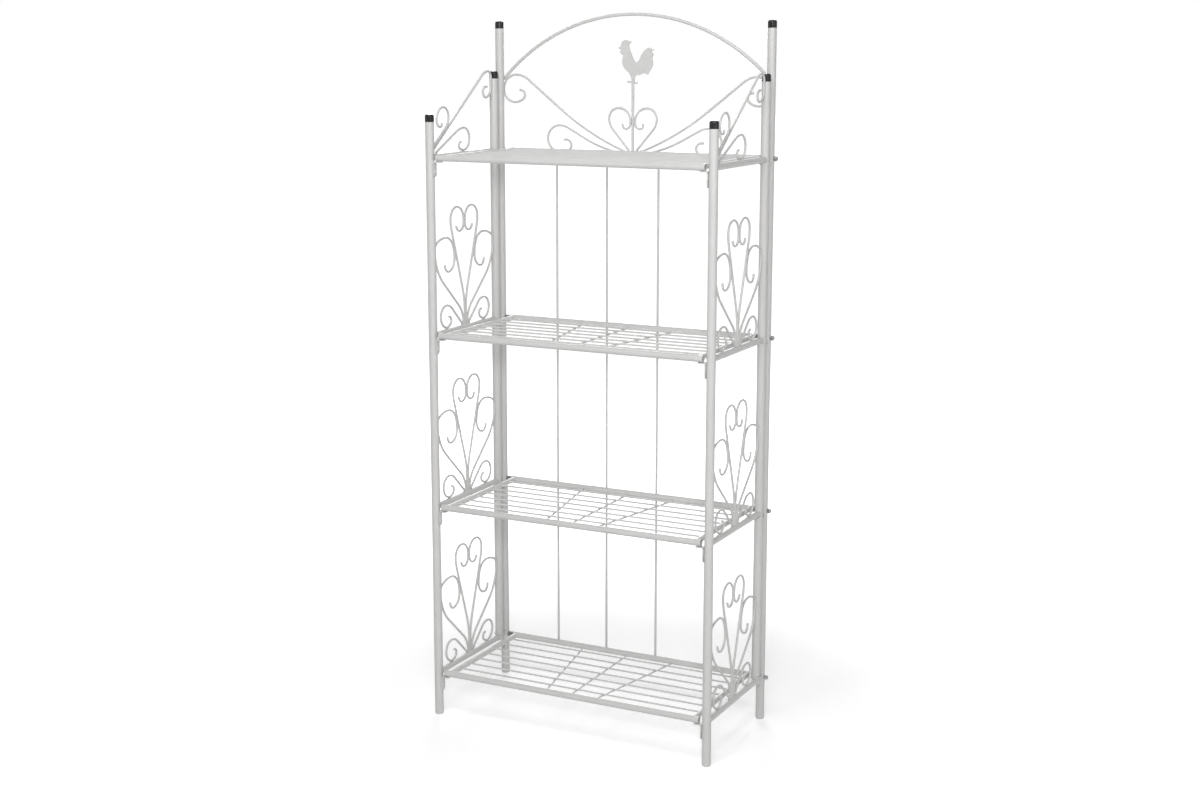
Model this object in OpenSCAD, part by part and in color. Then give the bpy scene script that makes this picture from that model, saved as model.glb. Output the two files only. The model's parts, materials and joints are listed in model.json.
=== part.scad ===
// Folding plant rack of white steel tube: a back panel with a scrolled crest, two
// side panels that swing on the back panel, and four wire shelves that tip up.
// Millimetres, +Z up, the front faces -Y, origin on the floor under the middle.

/* [Rack] */
// Distance between the axes of the left and right posts
rack_w = 650; // [600:10:740]
// Distance between the axes of the front and back posts
rack_d = 298; // [270:2:310]
// Height of the lowest shelf's tubes above the floor
first_shelf_z = 97; // [80:1:140]
// Height from one shelf to the next
shelf_pitch = 380; // [340:5:420]
// Height of the front posts' tops above the top shelf
front_rise = 91; // [60:1:130]
// Height of the side panels' rear posts above the top shelf
side_rise = 176; // [160:1:200]
// Height of the back posts' tops above the top shelf
back_rise = 285; // [260:1:320]
// Height of the arch's crown above the top shelf
arch_rise = 302; // [285:1:330]

/* [Tubes] */
// Diameter of the posts
post_d = 19; // [18:0.5:20]
// Diameter of the side panels' rails and of the shelves' long tubes
tube_d = 14; // [12.5:0.5:15]
// Diameter of the shelves' side tubes and of the back panel's rails
slim_tube_d = 12; // [10:0.5:12]
// Wall thickness of every tube
wall = 0.9; // [0.7:0.1:1.4]

/* [Rods] */
// Diameter of the scrolls and of the back panel's upright rods
rod_d = 5; // [4:0.25:5.5]
// Diameter of the arch
arch_d = 7; // [6:0.5:8]
// Diameter of the stem that carries the rooster
stem_d = 6; // [5:0.5:7]
// Diameter of the shelf wires
wire_d = 4; // [3:0.5:4.5]
// Thickness of the rooster's sheet
sheet_t = 3; // [2:0.5:4]

/* [Shelves] */
// Number of lengthwise wires in a shelf
wire_count = 7; // [5:1:9]
// Distance of the outer cross wires' rear ends from the middle
cross_rear_x = 115; // [80:5:140]
// Distance of the outer cross wires' front ends from the middle
cross_front_x = 57; // [40:1:100]

/* [Hinges] */
// Distance from a back post's axis forward to the side panel's hinge axis
hinge_offset = 28; // [26:0.5:32]
// Thickness of the hinge straps
strap_t = 3; // [2:0.5:4]
// Diameter of the shelves' pivot bolts
bolt_d = 6; // [5:0.5:7]

/* [Hidden] */
SIDES = ["left", "right"];
LEVELS = ["lower", "middle", "upper"];
SHELF_COUNT = 4;
$fn = 48;
cut = 1;

// Gaps and fits
weld_gap = 0.2;
seat_gap = 0.3;
bolt_play = 0.1;
hinge_play = 0.1;
press_play = 0.05;

// Radii and spacings that many pieces share
post_r = post_d / 2;
tube_r = tube_d / 2;
slim_r = slim_tube_d / 2;
rod_r = rod_d / 2;
arch_r = arch_d / 2;
stem_r = stem_d / 2;
rod_pitch = rod_d + weld_gap;
bolt_bore_r = bolt_d / 2 + bolt_play;

// End caps: a head on the post's end and a plug inside it
cap_h = 16;
cap_lip = 0.3;
cap_plug = 12;
cap_round = 4;
foot_round = 2.5;
foot_t = 2;

// Where the posts stand
post_x = rack_w / 2;
back_rail_dy = post_r + weld_gap + slim_r;
front_y = -(rack_d + back_rail_dy + slim_r - post_r - cap_lip) / 2;
back_y = front_y + rack_d;
hinge_y = back_y - hinge_offset;
top_z = first_shelf_z + (SHELF_COUNT - 1) * shelf_pitch;
shelf_z = [for (n = [0 : SHELF_COUNT - 1]) first_shelf_z + n * shelf_pitch];

// Back panel: rods and scrolls lie behind the posts, against the rails' fronts
crest_drawn_w = 650;
crest_scale = rack_w / crest_drawn_w;
rod_plane_dy = post_r + weld_gap + rod_r;
rail_drop = 5;
bottom_rail_z = first_shelf_z - rail_drop;
top_rail_z = top_z - rail_drop;
back_rod_spacing = 125 * crest_scale;
back_rod_x = [for (i = [-1.5 : 1 : 1.5]) i * back_rod_spacing];
crest_z = top_rail_z + sqrt(pow(slim_r + rod_r + weld_gap, 2) - pow(back_rail_dy - rod_plane_dy, 2));
arch_crown_z = top_z + arch_rise - arch_r;

// Side panels: the clear width between the two posts that the scrolls fill
panel_depth = hinge_y - front_y;
fan_half = panel_depth / 2 - post_r;

// Shelves: where the tubes end
shelf_side_x = post_x - 30;
rear_tube_half = post_x - 23;
front_tube_half = post_x - 17;
wire_lift = 2;
wire_half = shelf_side_x - slim_r - weld_gap;
cross_lift = wire_lift - wire_d - weld_gap;

// Pivots: head outside the post, spacer between post and shelf, insert in the tube
bolt_head_d = 11;
bolt_head_h = 7;
bolt_head_round = 1.5;
socket_d = 5;
socket_depth = 3.5;
spacer_d = 11;
insert_len = 18;
bolt_reach = rear_tube_half - insert_len;

// Shelf rests: a leg on the front post and a lip under the shelf's front tube
rest_w = 13;
rest_t = 2.5;
rest_h = 33;
rest_lip = 18;

// Joints in a bent rod: each length ends inside a short weld
weld_len = 1.2;
weld_trim = 0.05;
weld_swell = 0.06;

// A bent rod is a list of [radius, turn] arcs and [length, 0] straights; a turn
// above zero bends to the left. A pose is [x, y, heading].
function step(pose, bend, s) =
    bend[1] == 0
        ? [pose[0] + s * bend[0] * cos(pose[2]), pose[1] + s * bend[0] * sin(pose[2]), pose[2]]
        : let (side = sign(bend[1]), h = pose[2] + bend[1])
          [pose[0] + side * s * bend[0] * (sin(h) - sin(pose[2])),
           pose[1] - side * s * bend[0] * (cos(h) - cos(pose[2])), h];

// Pose after the first n bends
function follow(pose, bends, s, n) =
    n == 0 ? pose : step(follow(pose, bends, s, n - 1), bends[n - 1], s);

module bent_rod(d, pose, bends, s = 1)
    for (i = [0 : len(bends) - 1]) {
        at = follow(pose, bends, s, i);
        translate([at[0], at[1], 0])
            rotate(at[2]) {
                bend_piece(d, bends[i][0] * s, bends[i][1]);
                if (i > 0)
                    translate([-weld_len / 2, 0, 0])
                        rotate([0, 90, 0])
                            cylinder(d = d + 2 * weld_swell, h = weld_len);
            }
    }

module bend_piece(d, size, turn)
    if (turn == 0)
        translate([weld_trim, 0, 0])
            rotate([0, 90, 0])
                cylinder(d = d, h = size - 2 * weld_trim);
    else {
        trim = weld_trim / size * 180 / PI;
        mirror([0, turn < 0 ? 1 : 0, 0])
            translate([0, size, 0])
                rotate(trim - 90)
                    rotate_extrude(angle = abs(turn) - 2 * trim)
                        translate([size, 0])
                            circle(d = d);
    }

module both_ways()
    for (m = [0, 1])
        mirror([m, 0, 0])
            children();

// A tube along X, centred
module cross_tube(d, half)
    rotate([0, 90, 0])
        difference() {
            cylinder(d = d, h = 2 * half, center = true);
            cylinder(d = d - 2 * wall, h = 2 * half + cut, center = true);
        }

// An upright tube from the given height to the underside of its cap
module post(bottom, top, foot)
    translate([0, 0, bottom])
        difference() {
            rotate_extrude()
                post_outline(top - cap_h - bottom, foot);
            translate([0, 0, foot ? foot_t : -cut])
                cylinder(r = post_r - wall, h = top - bottom);
        }

module post_outline(h, foot)
    if (foot) {
        translate([0, foot_round])
            square([post_r, h - foot_round]);
        square([post_r - foot_round, foot_round]);
        translate([post_r - foot_round, foot_round])
            intersection() {
                circle(r = foot_round);
                translate([0, -foot_round])
                    square(foot_round);
            }
    } else
        square([post_r, h]);

// A black end cap whose top is at z = 0
module cap() color("black")
    rotate_extrude()
        union() {
            difference() {
                translate([0, -cap_h])
                    square([post_r + cap_lip, cap_h]);
                translate([post_r + cap_lip - cap_round, -cap_round])
                    difference() {
                        square(cap_round + cut);
                        circle(r = cap_round);
                    }
            }
            translate([0, -cap_h - cap_plug])
                square([post_r - wall - press_play, cap_plug + cut]);
        }

// Back panel
module back_post() color("white")
    difference() {
        post(0, top_z + back_rise, true);
        for (z = shelf_z)
            translate([0, 0, z])
                rotate([0, 90, 0])
                    cylinder(r = bolt_bore_r, h = post_d + cut, center = true);
    }

module back_rail(z) color("white")
    translate([0, back_y + back_rail_dy, z])
        cross_tube(slim_tube_d, post_x);

module back_rods() color("white")
    translate([0, back_y, 0])
        difference() {
            for (x = back_rod_x)
                translate([x, rod_plane_dy, bottom_rail_z])
                    cylinder(d = rod_d, h = top_rail_z - bottom_rail_z);
            for (z = [bottom_rail_z, top_rail_z])
                translate([0, back_rail_dy, z])
                    rotate([0, 90, 0])
                        cylinder(r = slim_r + weld_gap, h = rack_w, center = true);
        }

module back_caps()
    for (s = [-1, 1])
        translate([s * post_x, back_y, top_z + back_rise])
            cap();

// Crest: left half drawn from the stem outwards, lengths for a rack of the drawn width
module crest_half(pose, bends) color("white")
    translate([0, back_y + rod_plane_dy, crest_z])
        rotate([90, 0, 0])
            both_ways()
                bent_rod(rod_d, pose, bends, crest_scale);

UPPER_START = [-13.5, 0, 160];
UPPER_BENDS = [[600, -18], [102.8, 0], [50, 38]];
UPPER_LOOP_R = 32;
module crest_scrolls_upper()
    crest_half(UPPER_START,
        concat(UPPER_BENDS, [[UPPER_LOOP_R, 90], [28.5, 90], [34, 38], [11, 152]]));

// The arch passes just outside the upper scrolls' loops and ends behind the back posts
arch_gap = 0.8;
arch_half = post_x - 3;
loop_top = follow(UPPER_START, UPPER_BENDS, crest_scale, len(UPPER_BENDS));
loop_room = UPPER_LOOP_R * crest_scale + rod_r + arch_gap + arch_r;
crown_over_loop = arch_crown_z - crest_z - loop_top[1] + UPPER_LOOP_R * crest_scale;
arch_radius = (pow(loop_top[0], 2) + pow(crown_over_loop, 2) - pow(loop_room, 2))
    / (2 * (crown_over_loop - loop_room));
arch_angle = asin(arch_half / arch_radius);
module arch() color("white")
    translate([0, back_y + post_r + weld_gap + arch_r, arch_crown_z - arch_radius])
        rotate([90, 0, 0])
            rotate(90 - arch_angle)
                rotate_extrude(angle = 2 * arch_angle)
                    translate([arch_radius, 0])
                        circle(d = arch_d);

// The lower scroll's turn brings it down to rest on the rail
LOWER_START = [-40, 0, 168];
LOWER_BENDS = [[300, -16], [45, 0], [46, 28], [30, 90]];
lower_turn = follow(LOWER_START, LOWER_BENDS, crest_scale, len(LOWER_BENDS))[1] / crest_scale;
module crest_scrolls_lower()
    crest_half(LOWER_START, concat(LOWER_BENDS, [[lower_turn, 90], [22, 0], [12, 180], [6, 0]]));

// The heart's turn brings it back beside the stem, above its own foot
HEART_SLOPE = 131;
HEART_BENDS = [[66, 0], [34, 90 - HEART_SLOPE], [23.4, -90]];
heart_turn = -follow([0, 0, HEART_SLOPE], HEART_BENDS, 1, len(HEART_BENDS))[0];
module crest_heart()
    crest_half([-stem_r - weld_gap - rod_r, 0, HEART_SLOPE],
        concat(HEART_BENDS, [[heart_turn, -90], [5, 0], [11.5, -90], [7.5, -90], [4, 0]]));

// The stem ends a set drop below the arch's crown, so that the rooster keeps its room
stem_top_z = arch_crown_z - 148.5 * crest_scale;
module crest_stem() color("white")
    translate([0, back_y + rod_plane_dy, top_rail_z])
        difference() {
            cylinder(d = stem_d, h = stem_top_z - top_rail_z);
            translate([0, back_rail_dy - rod_plane_dy, 0])
                rotate([0, 90, 0])
                    cylinder(r = slim_r + weld_gap, h = 4 * stem_d, center = true);
        }

// Rooster: smooth stretches that meet in corners, from the beak clockwise
ROOSTER = [
    [[-35, 77], [-29, 81]],
    [[-29, 81], [-27, 89], [-20, 94], [-12, 93], [-3, 90]],
    [[-3, 90], [-9, 84], [-9, 76], [-4, 64], [1, 53], [8, 47], [15, 52], [21, 64], [29, 73], [39, 78],
        [50, 73]],
    [[50, 73], [44, 69]],
    [[49, 62], [45, 58]],
    [[45, 58], [47, 42], [42, 31], [35, 20]],
    [[35, 20], [29, 23], [18, 20], [6, 18]],
    [[6, 18], [3.5, 10], [3.5, 4]],
    [[3.5, 4], [10, 4]],
    [[10.5, 0.5], [3, 0]],
    [[-3, 0], [-3, 2]],
    [[-13, 2.5], [-13.5, 6.5]],
    [[-3, 7],[-4, 13], [-9, 23], [-20, 33], [-26, 48], [-23, 61]],
    [[-23, 61], [-29, 64], [-31, 69], [-28, 73]]];
SPLINE_STEPS = 4;

// Point at t from 0 to 1 between b and c on a smooth curve through a, b, c, d
function spline_at(a, b, c, d, t) =
    0.5 * (2 * b + (c - a) * t + (2 * a - 5 * b + 4 * c - d) * t * t
           + (3 * b - a - 3 * c + d) * t * t * t);

function smooth(p) =
    len(p) < 3 ? p :
    [for (i = [0 : len(p) - 2])
        for (k = [0 : SPLINE_STEPS - 1])
            spline_at(p[max(i - 1, 0)], p[i], p[i + 1], p[min(i + 2, len(p) - 1)], k / SPLINE_STEPS)];

module rooster() color("white")
    translate([0, back_y + rod_plane_dy, stem_top_z + weld_gap])
        rotate([90, 0, 0])
            linear_extrude(sheet_t, center = true)
                scale(crest_scale)
                    polygon([for (stretch = ROOSTER) each smooth(stretch)]);

// Hinge straps: a flat ring round the side panel's rear post and an arm to the back post
strap_wall = 3;
strap_arm_w = 12;
function strap_z(n) = n == 0
    ? shelf_z[n] + tube_r + seat_gap
    : shelf_z[n] - tube_r - seat_gap - strap_t;

module hinge_straps() color("white")
    for (n = [0 : SHELF_COUNT - 1])
        translate([0, 0, strap_z(n)])
            difference() {
                union() {
                    translate([0, -hinge_offset, 0])
                        cylinder(r = post_r + hinge_play + strap_wall, h = strap_t);
                    translate([-strap_arm_w / 2, -hinge_offset, 0])
                        cube([strap_arm_w, hinge_offset, strap_t]);
                }
                translate([0, -hinge_offset, -cut])
                    cylinder(r = post_r + hinge_play, h = strap_t + 2 * cut);
                translate([0, 0, -cut])
                    cylinder(r = post_r + weld_gap, h = strap_t + 2 * cut);
            }

// Side panel, drawn with its posts along Y from the front post
module front_post() color("white") post(0, top_z + front_rise, true);

module side_post() color("white")
    post(first_shelf_z - tube_r, top_z + side_rise, false);

module side_rails() color("white")
    for (z = shelf_z)
        translate([0, panel_depth / 2, z])
            difference() {
                rotate(90)
                    cross_tube(tube_d, panel_depth / 2);
                for (y = [-1, 1])
                    translate([0, y * panel_depth / 2, 0])
                        cylinder(r = post_r + weld_gap, h = tube_d + cut, center = true);
            }

module side_caps() {
    translate([0, 0, top_z + front_rise])
        cap();
    translate([0, panel_depth, top_z + side_rise])
        cap();
}

// Turns a drawing in the XY plane to stand in the side panel's plane
module in_side_plane(z)
    translate([0, 0, z])
        rotate([90, 0, 90])
            children();

// Fan of six scrolls, three a side: they stand on a rail, the outermost at a slope.
// The inner one's turn brings it back above its own foot, where it meets its mirror
// image, and the low one's turn brings it down to rest on the rail.
FAN_LOW_SLOPE = 43;
FAN_INNER = [[30, 0], [170, -18], [137, 0], [70, 18], [26, 90]];
FAN_MIDDLE = [[60, -48], [83.4, 0], [100, 48], [16, 60], [70, 30], [35, 72], [80, 18], [26, 90], [14, 100]];
FAN_LOW = [[58, 0], [33, -FAN_LOW_SLOPE]];
fan_start = [0.5, 1.5, 2.6] * rod_pitch;
fan_low_start = [fan_start[2], weld_gap + rod_r * cos(FAN_LOW_SLOPE), FAN_LOW_SLOPE];
middle_reach = follow([0, 0, 90], FAN_MIDDLE, 1, 3)[0];
fan_scale = (fan_half - rod_r - weld_gap - fan_start[1]) / middle_reach;
inner_turn = follow([0, 0, 90], FAN_INNER, 1, len(FAN_INNER))[0];
low_rise = follow(fan_low_start, FAN_LOW, fan_scale, len(FAN_LOW))[1];
low_turn = (low_rise - rod_r - weld_gap) / 2 / fan_scale;

module fan(n) color("white")
    in_side_plane(shelf_z[n] + tube_r)
        translate([panel_depth / 2, 0])
            both_ways() {
                bent_rod(rod_d, [fan_start[0], weld_gap, 90],
                    concat(FAN_INNER, [[inner_turn, 90], [8, 0], [17.3, 90], [13, 90]]), fan_scale);
                bent_rod(rod_d, [fan_start[1], weld_gap, 90], FAN_MIDDLE, fan_scale);
                bent_rod(rod_d, fan_low_start,
                    concat(FAN_LOW, [[low_turn, -180], [26, -35], [9.5, -145]]), fan_scale);
            }

// Top scrolls: a diagonal from the front post to the rear post's cap, a curl along its
// upper side and a lower curl whose turn brings it down to rest on the rail
diagonal_z = 7;
diagonal_ends = 50;
diagonal_slope = atan((side_rise - tube_r - diagonal_z) / (panel_depth - diagonal_ends));
DIAGONAL = [[257, 0], [40, -diagonal_slope], [13, -90], [20, 0], [23, -90], [11.5, -180], [5, 0]];
diagonal_x = post_r + weld_gap + rod_r * sin(diagonal_slope);
diagonal_reach = follow([0, 0, diagonal_slope], DIAGONAL, 1, 3)[0];
top_scale = (panel_depth - post_r - cap_lip - rod_r - weld_gap - diagonal_x) / diagonal_reach;
UPPER_CURL = [[66, 0], [28, 90 - diagonal_slope], [20.5, 90], [27, 90], [13.5, 90], [8, 95]];
LOWER_CURL_SLOPE = 25.5;
LOWER_CURL = [[94, 0], [65, -LOWER_CURL_SLOPE]];
curl_start = [24, rod_r + weld_gap, LOWER_CURL_SLOPE];
curl_rise = follow(curl_start, LOWER_CURL, top_scale, len(LOWER_CURL))[1];
curl_turn = (curl_rise - curl_start[1]) / 2 / top_scale;

module top_scrolls() color("white")
    in_side_plane(top_z + tube_r) {
        translate([diagonal_x, diagonal_z])
            rotate(diagonal_slope) {
                bent_rod(rod_d, [0, 0, 0], DIAGONAL, top_scale);
                bent_rod(rod_d, [rod_pitch * tan(diagonal_slope), rod_pitch, 0], UPPER_CURL, top_scale);
            }
        bent_rod(rod_d, curl_start,
            concat(LOWER_CURL, [[curl_turn, -180], [3.5, 0], [30, -25], [7.5, -160]]), top_scale);
    }

// Shelf rests: x runs outwards from the middle of the rack
module shelf_rests() color("white")
    for (z = shelf_z)
        translate([-post_r - weld_gap, 0, z - tube_r - seat_gap]) {
            translate([-rest_lip, -rest_w / 2, -rest_t])
                cube([rest_lip, rest_w, rest_t]);
            rotate([90, 0, -90])
                linear_extrude(rest_t)
                    rest_leg();
        }

module rest_leg()
    union() {
        translate([-rest_w / 2, -rest_h + rest_w / 2])
            square([rest_w, rest_h - rest_w / 2 - rest_t / 2]);
        translate([0, -rest_h + rest_w / 2])
            circle(d = rest_w);
    }

// One shelf, drawn with its pivot axis at the origin and its front along -Y
module shelf_frame() color("white") {
    cross_tube(tube_d, rear_tube_half);
    translate([0, -rack_d, 0])
        cross_tube(tube_d, front_tube_half);
    for (s = [-1, 1])
        translate([s * shelf_side_x, -rack_d / 2, 0])
            difference() {
                rotate(90)
                    cross_tube(slim_tube_d, rack_d / 2);
                long_tube_room();
            }
}

// The room that both long tubes take, for shapes centred between them
module long_tube_room()
    for (y = [-1, 1])
        translate([0, y * rack_d / 2, 0])
            rotate([0, 90, 0])
                cylinder(r = tube_r + weld_gap, h = rack_w, center = true);

module shelf_wires() color("white")
    for (i = [1 : wire_count])
        translate([0, -i * rack_d / (wire_count + 1), wire_lift])
            rotate([0, 90, 0])
                cylinder(d = wire_d, h = 2 * wire_half, center = true);

module cross_wires() color("white")
    translate([0, -rack_d / 2, 0])
        difference() {
            for (s = [-1, 0, 1]) {
                lean = atan(s * (cross_rear_x - cross_front_x) / rack_d);
                translate([s * (cross_rear_x + cross_front_x) / 2, 0, cross_lift])
                    rotate([90, 0, -lean])
                        cylinder(d = wire_d, h = rack_d / cos(lean), center = true);
            }
            long_tube_room();
        }

module on_both_ends()
    for (m = [0, 1])
        mirror([m, 0, 0])
            rotate([0, 90, 0])
                children();

module pivot_bolts() color("silver")
    on_both_ends() {
        head_z = post_x + post_r + seat_gap;
        difference() {
            rotate_extrude() {
                translate([0, bolt_reach])
                    square([bolt_d / 2, head_z - bolt_reach + cut]);
                translate([0, head_z])
                    square([bolt_head_d / 2, bolt_head_h - bolt_head_round]);
                translate([0, head_z])
                    square([bolt_head_d / 2 - bolt_head_round, bolt_head_h]);
            }
            translate([0, 0, head_z + bolt_head_h - socket_depth])
                cylinder(d = socket_d, h = socket_depth + cut, $fn = 6);
        }
    }

module pivot_spacers() color("black")
    on_both_ends()
        translate([0, 0, rear_tube_half + seat_gap])
            difference() {
                cylinder(d = spacer_d, h = post_x - post_r - rear_tube_half - 2 * seat_gap);
                translate([0, 0, -cut])
                    cylinder(d = bolt_d + 2 * press_play, h = post_x);
            }

module pivot_inserts() color("silver")
    on_both_ends()
        translate([0, 0, bolt_reach])
            difference() {
                cylinder(r = tube_r - wall - press_play, h = insert_len - seat_gap);
                translate([0, 0, -cut])
                    cylinder(d = bolt_d + 2 * press_play, h = insert_len + 2 * cut);
            }

// Places for the repeated groups
module at_back_post(s)
    mirror([1 - s, 0, 0])
        translate([post_x, back_y, 0])
            children();

module at_front_post(s)
    mirror([1 - s, 0, 0])
        translate([post_x, front_y, 0])
            children();

module at_shelf(n)
    translate([0, back_y, shelf_z[n - 1]])
        children();

back_rail(bottom_rail_z);  // back_rail_bottom
back_rail(top_rail_z);  // back_rail_top
back_rods();
arch();
crest_scrolls_upper();
crest_scrolls_lower();
crest_heart();
crest_stem();
rooster();
back_caps();
for (s = [0, 1]) {
    at_back_post(s) back_post();
    at_back_post(s) hinge_straps();
    at_front_post(s) front_post();
    at_front_post(s) translate([0, panel_depth, 0]) side_post();
    at_front_post(s) side_rails();
    for (n = [0 : len(LEVELS) - 1])
        at_front_post(s) fan(n);
    at_front_post(s) top_scrolls();
    at_front_post(s) side_caps();
    at_front_post(s) shelf_rests();
}
for (n = [1 : SHELF_COUNT]) {
    at_shelf(n) shelf_frame();
    at_shelf(n) shelf_wires();
    at_shelf(n) cross_wires();
    at_shelf(n) pivot_bolts();
    at_shelf(n) pivot_spacers();
    at_shelf(n) pivot_inserts();
}
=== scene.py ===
"""Looks of a folding plant rack: white powder coat, weld beads, caps, studio."""

import json
import math
import random

import bmesh
import bpy
from bpy.props import FloatProperty, FloatVectorProperty, IntProperty, PointerProperty
from mathutils import Matrix, Vector


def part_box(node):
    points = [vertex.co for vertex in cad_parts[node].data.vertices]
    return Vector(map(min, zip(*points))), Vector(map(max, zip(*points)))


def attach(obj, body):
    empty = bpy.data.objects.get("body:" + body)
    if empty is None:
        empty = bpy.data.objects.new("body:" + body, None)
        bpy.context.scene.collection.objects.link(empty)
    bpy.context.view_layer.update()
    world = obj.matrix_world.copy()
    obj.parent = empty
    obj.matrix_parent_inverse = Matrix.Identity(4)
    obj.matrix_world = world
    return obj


bl_info = {
    "name": "Plant Rack Looks",
    "version": (1, 0, 0),
    "blender": (4, 5, 0),
    "location": "3D View > Sidebar > Rack",
    "description": "Finishes, weld beads and studio of a folding plant rack",
    "category": "Object",
}

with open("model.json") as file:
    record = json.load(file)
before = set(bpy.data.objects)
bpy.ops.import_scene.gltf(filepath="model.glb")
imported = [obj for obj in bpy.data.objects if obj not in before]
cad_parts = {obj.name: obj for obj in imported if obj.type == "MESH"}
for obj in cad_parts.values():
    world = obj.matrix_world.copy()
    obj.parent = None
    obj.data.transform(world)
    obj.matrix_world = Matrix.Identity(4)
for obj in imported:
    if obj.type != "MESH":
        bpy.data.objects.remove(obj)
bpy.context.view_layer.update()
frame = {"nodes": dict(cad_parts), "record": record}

SIDES = ("left", "right")
FAN_LEVELS = ("lower", "middle", "upper")
SHELVES = (1, 2, 3, 4)
AXIS_X = Vector((1, 0, 0))
AXIS_Y = Vector((0, 1, 0))
AXIS_Z = Vector((0, 0, 1))


def middle(node):
    low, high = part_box(node)
    return (low + high) / 2


def spread(node):
    low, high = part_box(node)
    return high - low


# Places and sizes that the frame gives
POST_X = middle("front_post_right").x
FRONT_Y = middle("front_post_right").y
SIDE_Y = middle("side_post_right").y
PANEL_Y = (FRONT_Y + SIDE_Y) / 2
BACK_Y = middle("back_post_right").y
LEVELS = [middle(f"pivot_bolts_{n}").z for n in SHELVES]
POST_R = spread("front_post_right").x / 2
TUBE_R = spread("shelf_frame_1").z / 2
SLIM_R = spread("back_rail_top").z / 2
BACK_RAIL_Z = [middle("back_rail_bottom").z, middle("back_rail_top").z]
ROD_PLANE_Y = middle("back_rods").y
WIRE_R = spread("cross_wires_1").z / 2
CROSS_Z = middle("cross_wires_1").z - LEVELS[0]
WIRE_Z = middle("shelf_wires_1").z - LEVELS[0]

# Gap that the frame leaves between a piece and the piece that it is welded to
WELD_GAP = 0.0002

# Short welds of the side panels, each by its length, width and height
REST_TACK = (0.016, 0.0022, 0.0022)
FAN_POST_TACK = (0.011, 0.0034, 0.0018)
FAN_RAIL_TACK = (0.010, 0.0034, 0.0018)
FAN_MEETING_TACK = (0.008, 0.0034, 0.0018)
REAR_POST_TACK = (0.012, 0.0034, 0.0018)
FRONT_POST_TACK = (0.015, 0.0042, 0.002)
TOP_RAIL_TACK = (0.009, 0.0034, 0.0018)

# Short welds of the back panel and the shelves
RAIL_SEAM_TACK = (0.011, 0.003, 0.0028)
STRAP_TACK = (0.010, 0.0022, 0.0016)
ARCH_TACK = (0.012, 0.004, 0.003)
CREST_RAIL_TACK = (0.012, 0.0034, 0.002)
CREST_POST_TACK = (0.012, 0.005, 0.0022)
HEART_TACK = (0.006, 0.0032, 0.0016)
ROOSTER_TACK = (0.0072, 0.0052, 0.0022)
CROSSING_TACK = (0.0046, 0.0046, 0.0012)
CREST_FOOT_WIDTH = 0.0034
CREST_FOOT_HEIGHT = 0.002


class RackSizes(bpy.types.PropertyGroup):
    """Sizes of the small pieces that the frame leaves to the looks"""

    rod_diameter: FloatProperty(
        name="Rod", description="Diameter of the scrolls and upright rods",
        default=0.005, min=0.002, max=0.01, unit="LENGTH")
    rod_spacing: FloatProperty(
        name="Fan foot spacing", description="Distance between the fans' feet on a rail",
        default=0.0052, min=0.002, max=0.01, unit="LENGTH")
    tube_bead: FloatProperty(
        name="Tube weld", description="Radius of the bead round a welded tube",
        default=0.0011, min=0.0003, max=0.003, unit="LENGTH")
    rod_bead: FloatProperty(
        name="Rod weld", description="Radius of the bead round a welded rod",
        default=0.0008, min=0.0003, max=0.002, unit="LENGTH")
    wire_bead: FloatProperty(
        name="Wire weld", description="Radius of the bead round a shelf wire's end",
        default=0.0006, min=0.0002, max=0.002, unit="LENGTH")
    tack_length: FloatProperty(
        name="Crest foot weld", description="Length of the short weld at each foot of the crest",
        default=0.008, min=0.002, max=0.02, unit="LENGTH")
    rivet_diameter: FloatProperty(
        name="Rest rivet", description="Diameter of the rivet heads on the shelf rests",
        default=0.0062, min=0.003, max=0.01, unit="LENGTH")
    wire_count: IntProperty(
        name="Shelf wires", description="Lengthwise wires in a shelf", default=7, min=1, max=20)


class RackFinishes(bpy.types.PropertyGroup):
    """Colours and gloss of the rack"""

    coat_color: FloatVectorProperty(
        name="Powder coat", description="Colour of the white powder coat",
        subtype="COLOR", size=3, default=(0.63, 0.626, 0.62), min=0, max=1)
    coat_roughness: FloatProperty(
        name="Coat roughness", description="Roughness of the powder coat",
        default=0.36, min=0, max=1, subtype="FACTOR")
    cap_color: FloatVectorProperty(
        name="Caps", description="Colour of the plastic end caps",
        subtype="COLOR", size=3, default=(0.006, 0.006, 0.0065), min=0, max=1)
    bolt_color: FloatVectorProperty(
        name="Bolts", description="Colour of the zinc plated bolts",
        subtype="COLOR", size=3, default=(0.5, 0.5, 0.5), min=0, max=1)


class RackStudio(bpy.types.PropertyGroup):
    """Camera and lights"""

    camera_place: FloatVectorProperty(
        name="Camera", description="Where the camera stands", subtype="TRANSLATION",
        unit="LENGTH", size=3, default=(1.7058, -3.3785, 1.4844))
    camera_turn: FloatProperty(
        name="Turn", description="Turn of the camera to the left of straight back",
        default=math.radians(27.0), subtype="ANGLE")
    camera_pitch: FloatProperty(
        name="Pitch", description="Tilt of the camera below level",
        default=math.radians(10.881), subtype="ANGLE")
    camera_lens: FloatProperty(
        name="Lens", description="Focal length in millimetres",
        default=53.63, min=10, max=200)
    key_power: FloatProperty(
        name="Key", description="Power of the soft light near the camera",
        default=58, min=0, subtype="POWER")
    fill_power: FloatProperty(
        name="Fill", description="Power of the soft light at the right",
        default=14, min=0, subtype="POWER")
    top_power: FloatProperty(
        name="Top", description="Power of the soft light above",
        default=38, min=0, subtype="POWER")
    back_power: FloatProperty(
        name="Back", description="Power of the soft light behind the rack",
        default=60, min=0, subtype="POWER")
    sky_strength: FloatProperty(
        name="Sky", description="Strength of the even light all round",
        default=0.18, min=0, max=2)


def sizes():
    return bpy.context.scene.rack_sizes


def finishes():
    return bpy.context.scene.rack_finishes


def studio():
    return bpy.context.scene.rack_studio


# Materials

# Nearly all of a noise lies between these values, which are spread over the wanted range
NOISE_LOW = 0.3
NOISE_HIGH = 0.7


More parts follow.
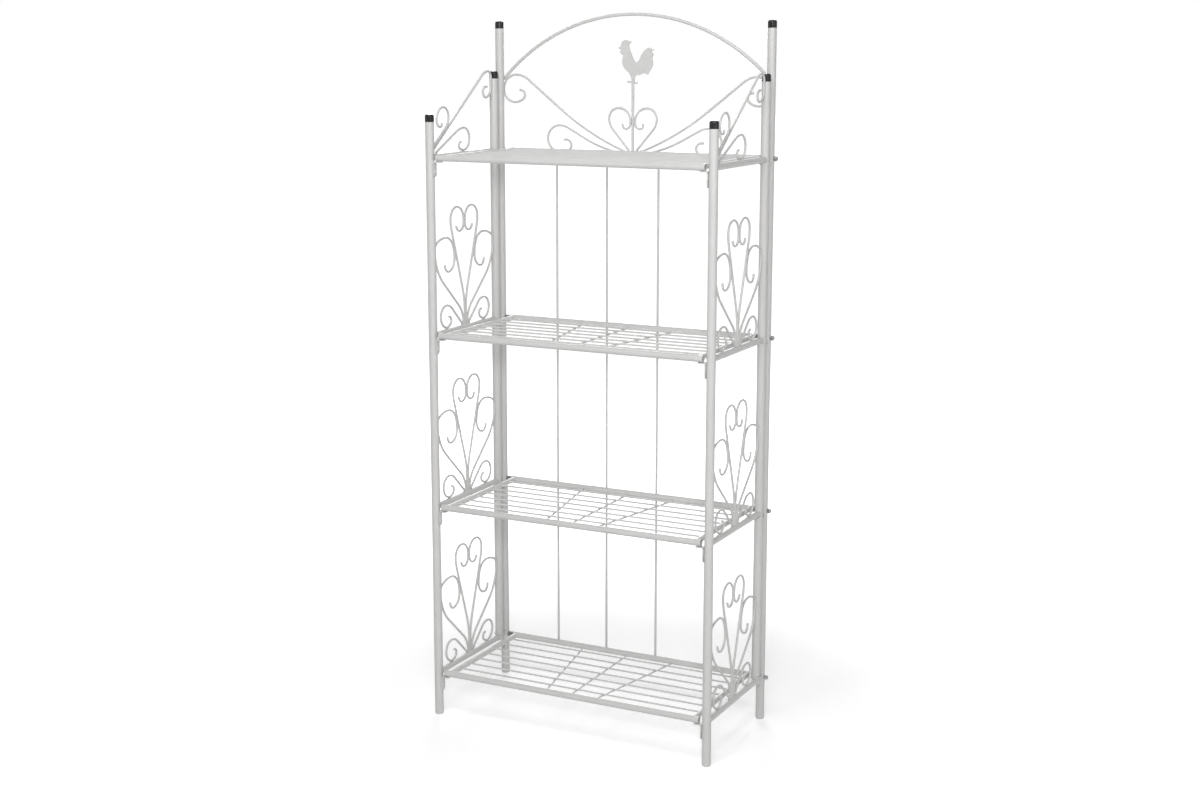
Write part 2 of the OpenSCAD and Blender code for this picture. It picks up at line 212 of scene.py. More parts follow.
def new_material(name):
    material = bpy.data.materials.new(name)
    material.use_nodes = True
    tree = material.node_tree
    shader = tree.nodes["Principled BSDF"]
    place = tree.nodes.new("ShaderNodeTexCoord")
    return material, tree, shader, place.outputs["Object"]


def made_material(name, maker):
    """The material of that name, made the first time that it is asked for."""
    return bpy.data.materials.get(name) or maker(name)


def noise(tree, vector, scale, detail):
    node = tree.nodes.new("ShaderNodeTexNoise")
    node.inputs["Scale"].default_value = scale
    node.inputs["Detail"].default_value = detail
    tree.links.new(vector, node.inputs["Vector"])
    return node.outputs["Fac"]


def spread_range(tree, value, low, high):
    node = tree.nodes.new("ShaderNodeMapRange")
    node.inputs["From Min"].default_value = NOISE_LOW
    node.inputs["From Max"].default_value = NOISE_HIGH
    node.inputs["To Min"].default_value = low
    node.inputs["To Max"].default_value = high
    tree.links.new(value, node.inputs["Value"])
    return node.outputs["Result"]


def two_colors(tree, value, first, second):
    """A colour that drifts between two as the noise does."""
    factor = spread_range(tree, value, low=0.0, high=1.0)
    node = tree.nodes.new("ShaderNodeMix")
    node.data_type = "RGBA"
    node.inputs["A"].default_value = (*first, 1)
    node.inputs["B"].default_value = (*second, 1)
    tree.links.new(factor, node.inputs["Factor"])
    return node.outputs["Result"]


def bump(tree, height, distance, strength, below=None):
    node = tree.nodes.new("ShaderNodeBump")
    node.inputs["Distance"].default_value = distance
    node.inputs["Strength"].default_value = strength
    tree.links.new(height, node.inputs["Height"])
    if below is not None:
        tree.links.new(below, node.inputs["Normal"])
    return node.outputs["Normal"]


def shade(color, factor):
    return tuple(min(1.0, c * factor) for c in color)


def powder_coat(name):
    """White powder coat: a fine orange peel, soft gloss and a faint unevenness of tone."""
    look = finishes()
    material, tree, shader, place = new_material(name)
    tone = noise(tree, place, scale=14.0, detail=4.0)
    speck = noise(tree, place, scale=900.0, detail=1.0)
    peel = noise(tree, place, scale=420.0, detail=2.0)
    grain = tree.nodes.new("ShaderNodeMix")
    grain.data_type = "RGBA"
    grain.blend_type = "MULTIPLY"
    tree.links.new(spread_range(tree, speck, low=0.0, high=0.22), grain.inputs["Factor"])
    tree.links.new(
        two_colors(tree, tone, shade(look.coat_color, 0.965), shade(look.coat_color, 1.02)),
        grain.inputs["A"])
    grain.inputs["B"].default_value = (0.93, 0.93, 0.93, 1)
    tree.links.new(grain.outputs["Result"], shader.inputs["Base Color"])
    rough = spread_range(tree, peel, low=look.coat_roughness - 0.05, high=look.coat_roughness + 0.07)
    tree.links.new(rough, shader.inputs["Roughness"])
    coarse = bump(tree, peel, distance=0.00006, strength=0.55)
    grit = noise(tree, place, scale=1500.0, detail=1.0)
    fine = bump(tree, grit, distance=0.00002, strength=0.4, below=coarse)
    tree.links.new(fine, shader.inputs["Normal"])
    shader.inputs["IOR"].default_value = 1.48
    return material


def weld_coat(name):
    """The same coat over a weld, a little rougher and in part duller, with painted shade that darkens the low
    parts of its ripple.
    """
    look = finishes()
    material, tree, shader, place = new_material(name)
    ripple = noise(tree, place, scale=700.0, detail=3.0)
    # Painted shade: the coat is darker where the ripple, which is also the bump's height, is low.
    tree.links.new(
        two_colors(tree, ripple, shade(look.coat_color, 0.9), look.coat_color),
        shader.inputs["Base Color"])
    tree.links.new(spread_range(tree, ripple, low=0.42, high=0.56), shader.inputs["Roughness"])
    tree.links.new(bump(tree, ripple, distance=0.00025, strength=0.7), shader.inputs["Normal"])
    return material


def cap_plastic(name):
    """Black moulded plastic with a soft sheen and faint handling marks."""
    look = finishes()
    material, tree, shader, place = new_material(name)
    cloud = noise(tree, place, scale=160.0, detail=3.0)
    tree.links.new(
        two_colors(tree, cloud, look.cap_color, shade(look.cap_color, 2.2)),
        shader.inputs["Base Color"])
    tree.links.new(spread_range(tree, cloud, low=0.09, high=0.16), shader.inputs["Roughness"])
    grit = noise(tree, place, scale=2200.0, detail=1.0)
    tree.links.new(bump(tree, grit, distance=0.00002, strength=0.3), shader.inputs["Normal"])
    shader.inputs["Specular IOR Level"].default_value = 0.3
    return material


def spacer_plastic(name):
    """Dark grey matte plastic of the spacers."""
    material, tree, shader, place = new_material(name)
    cloud = noise(tree, place, scale=500.0, detail=2.0)
    tree.links.new(
        two_colors(tree, cloud, (0.16, 0.16, 0.158), (0.22, 0.22, 0.216)),
        shader.inputs["Base Color"])
    tree.links.new(spread_range(tree, cloud, low=0.5, high=0.62), shader.inputs["Roughness"])
    return material


def plated_steel(name):
    """Zinc plated steel: grey, with turning marks that run round the bolt."""
    look = finishes()
    material, tree, shader, place = new_material(name)
    stretch = tree.nodes.new("ShaderNodeMapping")
    stretch.inputs["Scale"].default_value = (4.0, 0.4, 0.4)
    tree.links.new(place, stretch.inputs["Vector"])
    marks = noise(tree, stretch.outputs["Vector"], scale=900.0, detail=2.0)
    tree.links.new(
        two_colors(tree, marks, shade(look.bolt_color, 0.85), look.bolt_color),
        shader.inputs["Base Color"])
    shader.inputs["Metallic"].default_value = 1.0
    tree.links.new(spread_range(tree, marks, low=0.26, high=0.42), shader.inputs["Roughness"])
    tree.links.new(bump(tree, marks, distance=0.00002, strength=0.4), shader.inputs["Normal"])
    return material


def paint(obj, material):
    if not obj.material_slots:
        obj.data.materials.append(material)
    for entry in obj.material_slots:
        entry.material = material


# Finding where pieces touch

# Points this close to the furthest one belong to the same touching place
TOUCH_DEPTH = 0.00003


def mesh_points(node):
    piece = frame["nodes"][node]
    return [piece.matrix_world @ v.co for v in piece.data.vertices]


def touch(points, direction):
    """Middle of the points that reach furthest in a direction."""
    reach = max(p.dot(direction) for p in points)
    near = [p for p in points if p.dot(direction) > reach - TOUCH_DEPTH]
    low = Vector([min(p[k] for p in near) for k in range(3)])
    high = Vector([max(p[k] for p in near) for k in range(3)])
    return (low + high) / 2


def standing(at, up, along):
    """Matrix whose Z is up and whose X is along, at a place."""
    up = up.normalized()
    side = up.cross(along).normalized()
    along = side.cross(up)
    turn = Matrix((along, side, up)).transposed().to_4x4()
    return Matrix.Translation(at) @ turn


# Shapes made with bmesh operators

# Sides of a bead's section and steps round it, for a tube or rod and for a wire
TUBE_RING = (8, 20)
WIRE_RING = (6, 12)

# The ripple of a short weld: radians of wave over its length, and how deep the wave and its chance part are
RIPPLE_RATE = 14
RIPPLE_DEPTH = 0.1
RIPPLE_CHANCE = 0.04

# Height of a rivet's dome as a share of its radius
RIVET_DOME = 0.5
MERGE_DISTANCE = 1e-6


def carrier_drop(offset, radius):
    """How far a carrier's surface lies below its crown at a sideways offset: 0 on a flat one."""
    offset = min(abs(offset), radius)
    return radius - math.sqrt(radius * radius - offset * offset)


def add_ring(bm, place, radius, bead, carrier=0.0, fineness=TUBE_RING):
    """A weld bead round a rod that stands on a flat or round carrier, whose axis is local X."""
    sides, steps = fineness
    earlier = set(bm.verts)
    made = bmesh.ops.create_circle(
        bm, segments=sides, radius=bead,
        matrix=Matrix.Translation((radius, 0, 0)) @ Matrix.Rotation(math.pi / 2, 4, "X"))
    edges = list({e for v in made["verts"] for e in v.link_edges})
    bmesh.ops.spin(
        bm, geom=made["verts"] + edges, cent=(0, 0, 0), axis=(0, 0, 1),
        angle=2 * math.pi, steps=steps, use_merge=True)
    for v in set(bm.verts) - earlier:
        v.co.z -= carrier_drop(v.co.y, carrier)
        v.co = place @ v.co


def add_tack(bm, place, tack, dice):
    """A short oval weld, rippled along its length."""
    length, width, height = tack
    made = bmesh.ops.create_uvsphere(bm, u_segments=12, v_segments=7, radius=0.5)
    for v in made["verts"]:
        wave = RIPPLE_DEPTH * math.sin(RIPPLE_RATE * v.co.x)
        ripple = 1 + wave + RIPPLE_CHANCE * dice.uniform(-1, 1)
        v.co = Vector((v.co.x * length, v.co.y * width * ripple, v.co.z * height * ripple))
        v.co = place @ v.co


def add_rivet(bm, place, radius):
    """A low domed head, half sunk in the plate."""
    shape = place @ Matrix.Diagonal((1, 1, RIVET_DOME, 1))
    bmesh.ops.create_uvsphere(bm, u_segments=24, v_segments=12, radius=radius, matrix=shape)


def finish_piece(bm, name, body, material):
    bmesh.ops.remove_doubles(bm, verts=bm.verts, dist=MERGE_DISTANCE)
    bmesh.ops.recalc_face_normals(bm, faces=bm.faces)
    mesh = bpy.data.meshes.new(name)
    bm.to_mesh(mesh)
    bm.free()
    for face in mesh.polygons:
        face.use_smooth = True
    piece = bpy.data.objects.new(name, mesh)
    bpy.context.scene.collection.objects.link(piece)
    paint(piece, material)
    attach(piece, body)
    return piece


# Finishes of the frame's own pieces


class RACK_OT_coat(bpy.types.Operator):
    """Give every tube, rod, wire and sheet its white powder coat"""

    bl_idname = "rack.coat"
    bl_label = "Powder coat"

    def execute(self, context):
        coat = made_material("white_powder_coat", powder_coat)
        for entry in frame["record"]["subparts"]:
            if entry["material_slot"] == "white_coat":
                paint(frame["nodes"][entry["node"]], coat)
        return {"FINISHED"}


class RACK_OT_caps(bpy.types.Operator):
    """Give the end caps their black plastic"""

    bl_idname = "rack.caps"
    bl_label = "End caps"

    def execute(self, context):
        plastic = made_material("black_cap_plastic", cap_plastic)
        for node in ("back_caps", "side_caps_left", "side_caps_right"):
            paint(frame["nodes"][node], plastic)
        return {"FINISHED"}


class RACK_OT_hardware(bpy.types.Operator):
    """Give bolts, inserts and spacers their finish"""

    bl_idname = "rack.hardware"
    bl_label = "Bolts and spacers"

    def execute(self, context):
        steel = made_material("zinc_plated_steel", plated_steel)
        plastic = made_material("dark_spacer_plastic", spacer_plastic)
        for n in SHELVES:
            paint(frame["nodes"][f"pivot_bolts_{n}"], steel)
            paint(frame["nodes"][f"pivot_inserts_{n}"], steel)
            paint(frame["nodes"][f"pivot_spacers_{n}"], plastic)
        return {"FINISHED"}


# Welds of the side panels

SIDE_SEED = 11

# A scroll's touch on a rail is looked for below this height over the rail
NEAR_RAIL = 0.004

# Each foot of a half fan: its place in foot spacings, and how far its bead is drawn out along the rail
FAN_FEET = ((0.5, 1.0), (1.5, 1.0), (2.6, 1.4))

# A fan's scrolls rest on the rail beyond this distance from its middle, and meet above this height
FAN_FEET_REACH = 0.02
FAN_MEETING_HEIGHT = 0.1

# Height of the top scrolls' weld on the front post, over the rail
DIAGONAL_HEIGHT = 0.0105

# The lower curl's foot lies on the rail before the first distance from the front post, and its turn rests
# there beyond the second
CURL_FOOT_END = 0.05
CURL_TURN_START = 0.08

# The seams of a shelf rest lie on both sides of its middle, below the rail
REST_SEAM_SIDE = 0.005
REST_SEAM_DROP = 0.012


class RACK_OT_side_welds(bpy.types.Operator):
    """Weld the side panels: rails to posts, scrolls to rails and posts, rests to front posts"""

    bl_idname = "rack.side_welds"
    bl_label = "Side panel welds"

    def execute(self, context):
        coat = made_material("coated_weld", weld_coat)
        dice = random.Random(SIDE_SEED)
        for side, sign in zip(SIDES, (-1, 1)):
            bm = bmesh.new()
            x = sign * POST_X
            for z in LEVELS:
                for y, way in ((FRONT_Y + POST_R, AXIS_Y), (SIDE_Y - POST_R, -AXIS_Y)):
                    rail_end = standing(Vector((x, y, z)), way, AXIS_Z)
                    add_ring(bm, rail_end, TUBE_R, sizes().tube_bead, POST_R)
            for level, z in zip(FAN_LEVELS, LEVELS):
                weld_fan(bm, f"fan_{level}_{side}", Vector((x, PANEL_Y, z + TUBE_R)), dice)
            corner = Vector((x, FRONT_Y, LEVELS[-1] + TUBE_R))
            weld_top_scrolls(bm, f"top_scrolls_{side}", corner, dice)
            for z in LEVELS:
                for side_y in (-REST_SEAM_SIDE, REST_SEAM_SIDE):
                    seam_x = x - sign * (POST_R + WELD_GAP)
                    seam = Vector((seam_x, FRONT_Y + side_y, z - TUBE_R - REST_SEAM_DROP))
                    add_tack(bm, standing(seam, AXIS_X * sign, AXIS_Z), REST_TACK, dice)
            finish_piece(bm, f"panel_welds_{side}", f"side_panel_{side}", coat)
        return {"FINISHED"}


def weld_fan(bm, node, foot, dice):
    """Beads at a fan's six feet and short welds where its scrolls touch rail, posts and each other."""
    size = sizes()
    points = mesh_points(node)
    for way in (-1, 1):
        for spacings, stretch in FAN_FEET:
            at = foot + AXIS_Y * way * spacings * size.rod_spacing
            place = standing(at, AXIS_Z, AXIS_Y) @ Matrix.Diagonal((stretch, 1, 1, 1))
            add_ring(bm, place, size.rod_diameter / 2, size.rod_bead, TUBE_R)
        half = [p for p in points if way * (p.y - foot.y) > 0]
        at_post = touch(half, AXIS_Y * way)
        add_tack(bm, standing(at_post, AXIS_Y * way, AXIS_Z), FAN_POST_TACK, dice)
        low = [p for p in half if p.z < foot.z + NEAR_RAIL and abs(p.y - foot.y) > FAN_FEET_REACH]
        add_tack(bm, standing(touch(low, -AXIS_Z), AXIS_Z, AXIS_Y), FAN_RAIL_TACK, dice)
    high = [p for p in points if p.z > foot.z + FAN_MEETING_HEIGHT and p.y > foot.y]
    meeting = touch(high, -AXIS_Y)
    meeting.y = foot.y
    add_tack(bm, standing(meeting, AXIS_Y, AXIS_Z), FAN_MEETING_TACK, dice)


def weld_top_scrolls(bm, node, corner, dice):
    """Short welds where the top scrolls meet the posts and the rail."""
    points = mesh_points(node)
    add_tack(bm, standing(touch(points, AXIS_Y), AXIS_Y, AXIS_Z), REAR_POST_TACK, dice)
    at_post = corner + Vector((0, POST_R, DIAGONAL_HEIGHT))
    add_tack(bm, standing(at_post, AXIS_Y, AXIS_Z), FRONT_POST_TACK, dice)
    low = [p for p in points if p.z < corner.z + NEAR_RAIL]
    foot = [p for p in low if p.y < corner.y + CURL_FOOT_END]
    turn = [p for p in low if p.y > corner.y + CURL_TURN_START]
    for group in (foot, turn):
        add_tack(bm, standing(touch(group, -AXIS_Z), AXIS_Z, AXIS_Y), TOP_RAIL_TACK, dice)


# Welds of the back panel

BACK_SEED = 5

# Two seams hold each back rail to a post: how far behind the post, and above and below the rail's axis
RAIL_SEAM_OUT = 0.0013
RAIL_SEAM_LIFT = 0.0036

# Weld of an end of the arch: how far inside the post's axis, at which share of the post's radius and how far
# behind that, and how high over the arch's lowest point
ARCH_END_INSET = 0.0062
ARCH_END_SEAT = 0.86
ARCH_END_OUT = 0.0022
ARCH_END_LIFT = 0.008

# The upright rods meet a rail at this share of its radius
ROD_SEAT = 0.8

# Welds of the crest's feet: their distances from the middle, behind the rods' plane and below the rail's top
CREST_FEET = (0.0, 0.0075, 0.0165, 0.045)
CREST_FOOT_BACK = 0.0012
CREST_FOOT_SINK = 0.0002

# The heart's touch on the stem is looked for above this height over the rail, and the lower scrolls' touch on
# the rail beyond this distance from the middle
HEART_SHOULDER = 0.04
LOWER_SCROLL_START = 0.1

# How far inside the post's axis the upper scrolls are welded to it
UPPER_SCROLL_INSET = 0.0035

# Heights of points are taken as one edge when they agree to this many decimals
EDGE_DECIMALS = 5


class RACK_OT_back_welds(bpy.types.Operator):
    """Weld the back panel: rails and straps to posts, rods and crest to the rails, arch to the posts"""

    bl_idname = "rack.back_welds"
    bl_label = "Back panel welds"

    def execute(self, context):
        coat = made_material("coated_weld", weld_coat)
        dice = random.Random(BACK_SEED)
        bm = bmesh.new()
        for side, sign in zip(SIDES, (-1, 1)):
            weld_back_post(bm, f"hinge_straps_{side}", sign, dice)
        weld_rods(bm)
        weld_crest(bm, dice)
        finish_piece(bm, "back_welds", "back_panel", coat)
        return {"FINISHED"}


def weld_back_post(bm, straps, sign, dice):
    """Short welds of the rails, the hinge straps and the arch on one back post."""
    for z in BACK_RAIL_Z:
        for lift in (-RAIL_SEAM_LIFT, RAIL_SEAM_LIFT):
            seam = Vector((sign * POST_X, BACK_Y + POST_R + RAIL_SEAM_OUT, z + lift))
            add_tack(bm, standing(seam, AXIS_Y, AXIS_X), RAIL_SEAM_TACK, dice)
    for z in sorted({round(p.z, EDGE_DECIMALS) for p in mesh_points(straps)}):
        seam = Vector((sign * POST_X, BACK_Y - POST_R, z))
        add_tack(bm, standing(seam, AXIS_Z, AXIS_X), STRAP_TACK, dice)
    end_x = sign * (POST_X - ARCH_END_INSET)
    end_y = BACK_Y + POST_R * ARCH_END_SEAT + ARCH_END_OUT
    arch_end = Vector((end_x, end_y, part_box("arch")[0].z + ARCH_END_LIFT))
    slope = Vector((-sign, 0, 1))
    add_tack(bm, standing(arch_end, AXIS_Y, slope), ARCH_TACK, dice)


def weld_rods(bm):
    """Beads at both ends of the four upright rods."""
    size = sizes()
    rod_r = size.rod_diameter / 2
    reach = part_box("back_rods")[1].x - rod_r
    seat = SLIM_R * ROD_SEAT
    for x in (-reach, -reach / 3, reach / 3, reach):
        for z, way in ((BACK_RAIL_Z[0] + seat, 1), (BACK_RAIL_Z[1] - seat, -1)):
            foot = Vector((x, ROD_PLANE_Y, z))
            add_ring(bm, standing(foot, AXIS_Z * way, AXIS_X), rod_r, size.rod_bead)


def weld_crest(bm, dice):
    """Short welds at the crest's feet and where its scrolls touch rail, posts, stem and rooster."""
    crown = BACK_RAIL_Z[1] + SLIM_R
    foot_tack = (sizes().tack_length, CREST_FOOT_WIDTH, CREST_FOOT_HEIGHT)
    for offset in CREST_FEET:
        for x in sorted({-offset, offset}):
            seam = Vector((x, ROD_PLANE_Y + CREST_FOOT_BACK, crown - CREST_FOOT_SINK))
            add_tack(bm, standing(seam, AXIS_Z, AXIS_X), foot_tack, dice)
    lower = mesh_points("crest_scrolls_lower")
    upper = mesh_points("crest_scrolls_upper")
    heart = [p for p in mesh_points("crest_heart") if p.z > crown + HEART_SHOULDER]
    for sign in (-1, 1):
        rest = touch([p for p in lower if sign * p.x > LOWER_SCROLL_START], -AXIS_Z)
        add_tack(bm, standing(rest, AXIS_Z, AXIS_X), CREST_RAIL_TACK, dice)
        loop = touch([p for p in upper if sign * p.x > 0], AXIS_X * sign)
        at_post = Vector((sign * (POST_X - UPPER_SCROLL_INSET), BACK_Y + POST_R, loop.z))
        add_tack(bm, standing(at_post, AXIS_Y, AXIS_Z), CREST_POST_TACK, dice)
        at_stem = touch([p for p in heart if sign * p.x > 0], AXIS_X * -sign)
        add_tack(bm, standing(at_stem, AXIS_X * sign, AXIS_Z), HEART_TACK, dice)
    joint = Vector((0, ROD_PLANE_Y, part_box("crest_stem")[1].z))
    add_tack(bm, standing(joint, AXIS_Z, AXIS_X), ROOSTER_TACK, dice)


# Welds of the shelves

SHELF_SEED = 30

# The cross wires meet the long tubes at this share of their radius
CROSS_SEAT = 0.93

# Points of a shelf's cross wires beyond this distance from the middle belong to an outer one
CLEAR_OF_MIDDLE = 4 * WIRE_R


class RACK_OT_shelf_welds(bpy.types.Operator):
    """Weld the shelves: side tubes to long tubes, wires to tubes, wires to cross wires"""

    bl_idname = "rack.shelf_welds"
    bl_label = "Shelf welds"

    def execute(self, context):
        coat = made_material("coated_weld", weld_coat)
        count = sizes().wire_count
        shares = [k / (count + 1) for k in range(1, count + 1)]
        for n, z in zip(SHELVES, LEVELS):
            dice = random.Random(SHELF_SEED + n)
            bm = bmesh.new()
            weld_shelf_ends(bm, z, shares)
            weld_cross_wires(bm, z, shares, dice)
            finish_piece(bm, f"shelf_welds_{n}", f"shelf_{n}", coat)
        return {"FINISHED"}


def weld_shelf_ends(bm, z, shares):
    """Beads where the side tubes meet the long tubes, and at both ends of the lengthwise wires."""
    size = sizes()
    wire_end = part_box("shelf_wires_1")[1].x
    side_x = wire_end + WELD_GAP + SLIM_R
    for sign in (-1, 1):
        for y, way in ((BACK_Y - TUBE_R, -AXIS_Y), (FRONT_Y + TUBE_R, AXIS_Y)):
            corner = Vector((sign * side_x, y, z))
            add_ring(bm, standing(corner, way, AXIS_X), SLIM_R, size.tube_bead, TUBE_R)
        for share in shares:
            tip = Vector((sign * wire_end, BACK_Y - (BACK_Y - FRONT_Y) * share, z + WIRE_Z))
            place = standing(tip, AXIS_X * -sign, AXIS_Y)
            add_ring(bm, place, WIRE_R, size.wire_bead, fineness=WIRE_RING)


def weld_cross_wires(bm, z, shares, dice):
    """Short welds where each cross wire passes a lengthwise one, and beads at its two ends."""
    rear_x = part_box("cross_wires_1")[1].x - WIRE_R
    outer = [p for p in mesh_points("cross_wires_1") if p.x > CLEAR_OF_MIDDLE]
    front_end_x = touch(outer, -AXIS_Y).x
    for lean in (-1, 0, 1):
        front_x = front_end_x * lean
        back_x = rear_x * lean
        for share in shares:
            x = back_x + (front_x - back_x) * share
            y = BACK_Y - (BACK_Y - FRONT_Y) * share
            spot = Vector((x, y, z + (WIRE_Z + CROSS_Z) / 2))
            add_tack(bm, standing(spot, AXIS_Z, AXIS_X), CROSSING_TACK, dice)
        seat = TUBE_R * CROSS_SEAT
        for x, y, way in ((back_x, BACK_Y - seat, -1), (front_x, FRONT_Y + seat, 1)):
            place = standing(Vector((x, y, z + CROSS_Z)), AXIS_Y * way, AXIS_X)
            add_ring(bm, place, WIRE_R, sizes().wire_bead, fineness=WIRE_RING)


# Rivets of the shelf rests: the thickness of a rest's sheet, and how far below the rail its rivet sits
REST_SHEET = 0.0025
RIVET_DROP = 0.022


class RACK_OT_rivets(bpy.types.Operator):
    """Set a domed rivet head on each shelf rest"""

    bl_idname = "rack.rivets"
    bl_label = "Rest rivets"

    def execute(self, context):
        coat = made_material("white_powder_coat", powder_coat)
        leg_x = POST_X - POST_R - WELD_GAP - REST_SHEET
        for side, sign in zip(SIDES, (-1, 1)):
            bm = bmesh.new()
            for z in LEVELS:
                head = Vector((sign * leg_x, FRONT_Y, z - TUBE_R - RIVET_DROP))
                add_rivet(bm, standing(head, AXIS_X * -sign, AXIS_Z), sizes().rivet_diameter / 2)
            finish_piece(bm, f"rest_rivets_{side}", f"side_panel_{side}", coat)
        return {"FINISHED"}


# Studio

FLOOR_SIZE = 30.0
FLOOR_WHITE = (0.93, 0.93, 0.93, 1)

# The lamps light the floor round the rack to about two thirds of white, and the glow there fills up the
# rest and leaves a faint shadow. The glow rises to full white with the distance, as the lamps fade.
GLOW_NEAR = 0.36
GLOW_FAR = 1.0
GLOW_RISE_START = 0.5
GLOW_RISE_END = 1.5

# What the lamps are aimed at
RACK_MIDDLE = (0, 0, 0.75)
RACK_UPPER_PART = (0, 0, 1.2)

# The camera: its film's width in millimetres, the frame's shift as shares of it, and how far it sees
FILM_WIDTH = 36.0
FRAME_SHIFT = (0.005, -0.015)
FURTHEST_SEEN = 100.0


class RACK_OT_stage(bpy.types.Operator):
    """Set up the pale floor, the soft lights and the camera"""

    bl_idname = "rack.stage"
    bl_label = "Stage"

    def execute(self, context):
        make_floor()
        make_sky()
        make_lights()
        make_camera()
        context.scene.view_settings.view_transform = "Standard"
        return {"FINISHED"}


def make_floor():
    """A white floor that keeps the rack's shadow."""
    bm = bmesh.new()
    bmesh.ops.create_grid(bm, x_segments=2, y_segments=2, size=FLOOR_SIZE)
    mesh = bpy.data.meshes.new("studio_floor")
    bm.to_mesh(mesh)
    bm.free()
    floor = bpy.data.objects.new("studio_floor", mesh)
    bpy.context.scene.collection.objects.link(floor)
    material, tree, shader, place = new_material("floor_white")
    shader.inputs["Base Color"].default_value = FLOOR_WHITE
    shader.inputs["Roughness"].default_value = 0.9
    shader.inputs["Specular IOR Level"].default_value = 0.0
    total = tree.nodes.new("ShaderNodeAddShader")
    tree.links.new(shader.outputs["BSDF"], total.inputs[0])
    tree.links.new(floor_glow(tree, place), total.inputs[1])
    tree.links.new(total.outputs["Shader"], tree.nodes["Material Output"].inputs["Surface"])
    paint(floor, material)


def floor_glow(tree, place):
    """A glow that grows with the distance from the rack, for the rays that see the floor directly."""
    distance = tree.nodes.new("ShaderNodeVectorMath")
    distance.operation = "LENGTH"
    tree.links.new(place, distance.inputs[0])
    rise = tree.nodes.new("ShaderNodeMapRange")
    rise.interpolation_type = "SMOOTHSTEP"
    rise.inputs["From Min"].default_value = GLOW_RISE_START
    rise.inputs["From Max"].default_value = GLOW_RISE_END
    rise.inputs["To Min"].default_value = GLOW_NEAR
    rise.inputs["To Max"].default_value = GLOW_FAR
    tree.links.new(distance.outputs["Value"], rise.inputs["Value"])
    seen = tree.nodes.new("ShaderNodeMath")
    seen.operation = "MULTIPLY"
    tree.links.new(rise.outputs["Result"], seen.inputs[0])
    tree.links.new(seen_directly(tree), seen.inputs[1])
    glow = tree.nodes.new("ShaderNodeEmission")
    tree.links.new(seen.outputs["Value"], glow.inputs["Strength"])
    return glow.outputs["Emission"]


def seen_directly(tree):
    """1 for rays from the camera and for glossy and transmitted rays."""
    path = tree.nodes.new("ShaderNodeLightPath")
    value = path.outputs["Is Camera Ray"]
    for name in ("Is Glossy Ray", "Is Transmission Ray"):
        join = tree.nodes.new("ShaderNodeMath")
        join.operation = "MAXIMUM"
        tree.links.new(value, join.inputs[0])
        tree.links.new(path.outputs[name], join.inputs[1])
        value = join.outputs["Value"]
    return value


def make_sky():
    """Even light from all round, with a white backdrop for the rays that see it directly."""
    world = bpy.data.worlds.new("studio_sky")
    bpy.context.scene.world = world
    world.use_nodes = True
    tree = world.node_tree
    light = tree.nodes["Background"]
    light.inputs["Color"].default_value = (1, 1, 1, 1)
    light.inputs["Strength"].default_value = studio().sky_strength
    backdrop = tree.nodes.new("ShaderNodeBackground")
    backdrop.inputs["Color"].default_value = (1, 1, 1, 1)
    backdrop.inputs["Strength"].default_value = 1.0
    mix = tree.nodes.new("ShaderNodeMixShader")
    tree.links.new(seen_directly(tree), mix.inputs["Fac"])
    tree.links.new(light.outputs["Background"], mix.inputs[1])
    tree.links.new(backdrop.outputs["Background"], mix.inputs[2])
    tree.links.new(mix.outputs["Shader"], tree.nodes["World Output"].inputs["Surface"])


def soft_light(name, place, aim, size, power):
    data = bpy.data.lights.new(name, "AREA")
    data.shape = "DISK"
    data.size = size
    data.energy = power
    lamp = bpy.data.objects.new(name, data)
    lamp.location = place
    lamp.rotation_euler = (Vector(aim) - Vector(place)).to_track_quat("-Z", "Y").to_euler()
    bpy.context.scene.collection.objects.link(lamp)


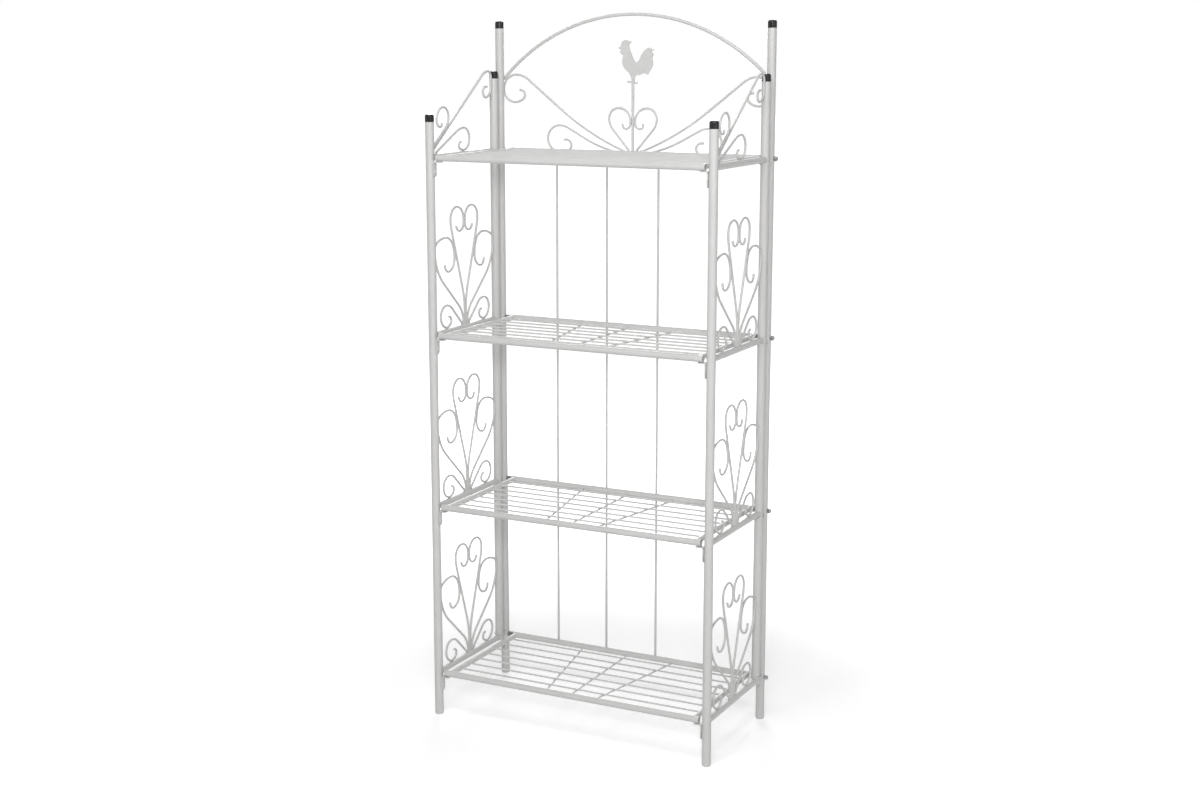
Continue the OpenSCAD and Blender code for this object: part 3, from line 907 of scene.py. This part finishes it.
def make_lights():
    look = studio()
    soft_light("key_light", (1.7, -3.6, 2.0), RACK_MIDDLE, size=0.8, power=look.key_power)
    soft_light("fill_light", (3.0, -1.6, 1.5), RACK_MIDDLE, size=2.2, power=look.fill_power)
    soft_light("top_light", (0.3, -1.8, 3.3), RACK_UPPER_PART, size=1.5, power=look.top_power)
    soft_light("back_light", (-1.8, 3.6, 2.0), RACK_MIDDLE, size=2.0, power=look.back_power)


def make_camera():
    look = studio()
    data = bpy.data.cameras.new("photo_camera")
    data.lens = look.camera_lens
    data.sensor_width = FILM_WIDTH
    data.shift_x, data.shift_y = FRAME_SHIFT
    data.clip_end = FURTHEST_SEEN
    camera = bpy.data.objects.new("photo_camera", data)
    camera.location = look.camera_place
    camera.rotation_euler = (math.pi / 2 - look.camera_pitch, 0, look.camera_turn)
    bpy.context.scene.collection.objects.link(camera)
    bpy.context.scene.camera = camera


class RACK_PT_panel(bpy.types.Panel):
    """Lists the rack's settings and steps"""

    bl_label = "Plant Rack"
    bl_idname = "RACK_PT_panel"
    bl_space_type = "VIEW_3D"
    bl_region_type = "UI"
    bl_category = "Rack"

    def draw(self, context):
        layout = self.layout
        for group in (sizes(), finishes(), studio()):
            box = layout.box()
            for name in group.__annotations__:
                box.prop(group, name)
        for operator in OPERATORS:
            layout.operator(operator.bl_idname)


OPERATORS = (
    RACK_OT_coat, RACK_OT_caps, RACK_OT_hardware, RACK_OT_side_welds, RACK_OT_back_welds,
    RACK_OT_shelf_welds, RACK_OT_rivets, RACK_OT_stage)
GROUPS = (RackSizes, RackFinishes, RackStudio)


def register():
    for item in GROUPS + OPERATORS + (RACK_PT_panel,):
        bpy.utils.register_class(item)
    bpy.types.Scene.rack_sizes = PointerProperty(type=RackSizes)
    bpy.types.Scene.rack_finishes = PointerProperty(type=RackFinishes)
    bpy.types.Scene.rack_studio = PointerProperty(type=RackStudio)


def unregister():
    del bpy.types.Scene.rack_studio
    del bpy.types.Scene.rack_finishes
    del bpy.types.Scene.rack_sizes
    for item in reversed(GROUPS + OPERATORS + (RACK_PT_panel,)):
        bpy.utils.unregister_class(item)


def main():
    register()
    bpy.ops.rack.coat()
    bpy.ops.rack.caps()
    bpy.ops.rack.hardware()
    bpy.ops.rack.side_welds()
    bpy.ops.rack.back_welds()
    bpy.ops.rack.shelf_welds()
    bpy.ops.rack.rivets()
    bpy.ops.rack.stage()


if __name__ == "__main__":
    main()
